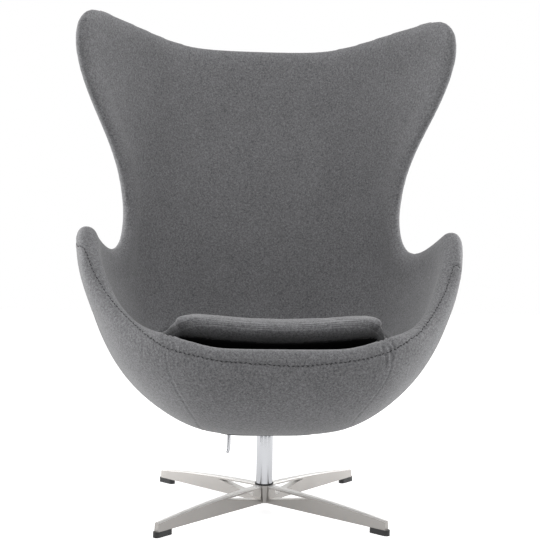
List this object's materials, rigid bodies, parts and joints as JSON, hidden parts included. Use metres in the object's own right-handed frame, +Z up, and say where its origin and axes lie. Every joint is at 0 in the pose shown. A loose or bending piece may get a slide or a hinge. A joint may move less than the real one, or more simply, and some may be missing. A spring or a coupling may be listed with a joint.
{
  "type": "lounge chair",
  "caption": "Upholstered lounge chair: a moulded shell with arms and wings and a loose cushion, on a tilting swivel with a chrome column and a star base.",
  "frame": {"origin": "on the floor under the middle of the column, which is also the middle of the bottom of the bounding box", "axes": "+Z up, the sitter faces -Y, +X to the right in a view along +Y; the chair is a mirror image about the YZ plane"},
  "size_m": [0.8312, 0.7807, 1.0806],
  "materials": {
    "wool_felt": "grey melange wool felt",
    "cushion_felt": "grey melange wool felt",
    "black_lining": "black woven lining",
    "seat_foam": "dark moulded foam",
    "moulded_shell": "moulded, black",
    "cast_aluminium": "satin, cast",
    "column_chrome": "polished",
    "black_plastic": "moulded, black",
    "bush_plastic": "moulded, natural",
    "zinc_steel": "zinc plated",
    "black_casting": "black enamel on cast steel",
    "black_rubber": "moulded, black"
  },
  "bodies": {
    "base": {"star_base": "cast_aluminium", "glide_back_right": "black_plastic", "glide_back_left": "black_plastic", "glide_front_left": "black_plastic", "glide_front_right": "black_plastic", "glide_screws": "zinc_steel", "column_tube": "column_chrome", "column_ring": "black_rubber", "column_plug": "zinc_steel", "column_washer": "zinc_steel", "column_bolt": "zinc_steel", "lower_bush": "bush_plastic", "upper_bush": "bush_plastic", "thrust_washer": "zinc_steel"},
    "swivel": {"spindle": "zinc_steel", "spindle_clip": "zinc_steel", "tilt_housing": "black_casting", "brake_segment": "zinc_steel", "tilt_axle": "zinc_steel", "axle_clips": "zinc_steel", "axle_spacers": "bush_plastic", "stop_buffers": "black_rubber"},
    "seat": {"seat_bracket": "black_casting", "rubber_sleeves": "black_rubber", "lever_bushes": "bush_plastic", "seat_screws": "zinc_steel", "shell_inserts": "zinc_steel", "shell_core": "moulded_shell", "inner_upholstery": "wool_felt", "outer_upholstery": "wool_felt", "front_apron": "wool_felt", "seat_block": "seat_foam", "bottom_panel": "black_plastic"},
    "lever": {"tilt_lever": "column_chrome", "brake_cam": "zinc_steel"},
    "cushion": {"seat_cushion": "cushion_felt", "cushion_lining": "black_lining"}
  },
  "joints": [
    {"name": "swivel_turn", "type": "hinge", "parent": "base", "child": "swivel", "pos_m": [0, 0, 0.1], "axis": [0, 0, 1], "continuous": true},
    {"name": "seat_tilt", "type": "hinge", "parent": "swivel", "child": "seat", "pos_m": [0, 0, 0.21105], "axis": [-1, 0, 0], "range_deg": [0, 12], "stiffness_Nm_per_rad": 200, "springref_deg": -17.19},
    {"name": "tilt_lever_turn", "type": "hinge", "parent": "seat", "child": "lever", "pos_m": [0, -0.048, 0.21105], "axis": [-1, 0, 0], "range_deg": [0, 35]},
    {"name": "cushion_lift", "type": "slide", "parent": "seat", "child": "cushion", "axis": [0, -0.5, 0.866], "range_m": [0, 0.35]}
  ]
}
